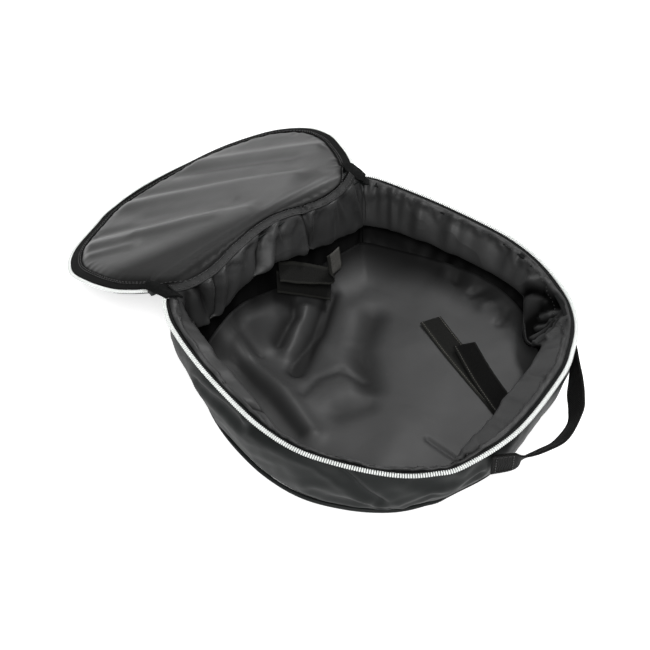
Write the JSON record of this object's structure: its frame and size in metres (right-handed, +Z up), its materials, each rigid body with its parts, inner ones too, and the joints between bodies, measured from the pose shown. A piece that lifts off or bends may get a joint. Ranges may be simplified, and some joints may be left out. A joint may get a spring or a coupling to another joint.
{
  "type": "scuba regulator bag",
  "caption": "Soft padded bag for a diving regulator, lying open on its back with its zipped lid folded over, hook-and-loop straps inside and a webbing carry handle.",
  "frame": {"origin": "on the ground under the middle of the tub", "axes": "+Z up, +Y from the carry handle toward the hinge and the opened lid, +X across the bag"},
  "size_m": [0.382, 0.6195, 0.1108],
  "materials": {
    "shell_nylon": "matt woven nylon, near black",
    "tub_lining": "satin coated lining, dark grey",
    "lid_lining": "satin coated lining, mid grey",
    "zip_tape": "matt woven tape, black",
    "zip_teeth": "white nylon coil",
    "webbing": "matt black webbing and hook-and-loop tape"
  },
  "bodies": {
    "root": {"base_panel": "shell_nylon", "base_piping": "shell_nylon", "outer_wall": "shell_nylon", "lining_wall": "tub_lining", "lining_floor": "tub_lining", "zip_tape_tub": "zip_tape", "zip_teeth_tub": "zip_teeth", "lid_shell": "shell_nylon", "lid_lining": "lid_lining", "zip_tape_lid": "zip_tape", "zip_teeth_lid": "zip_teeth", "hinge_strip": "tub_lining", "zip_end_left": "zip_tape", "zip_end_right": "zip_tape", "strap_long": "webbing", "strap_short": "webbing", "strap_under": "webbing", "strap_folded": "webbing", "carry_handle": "webbing"}
  },
  "joints": []
}
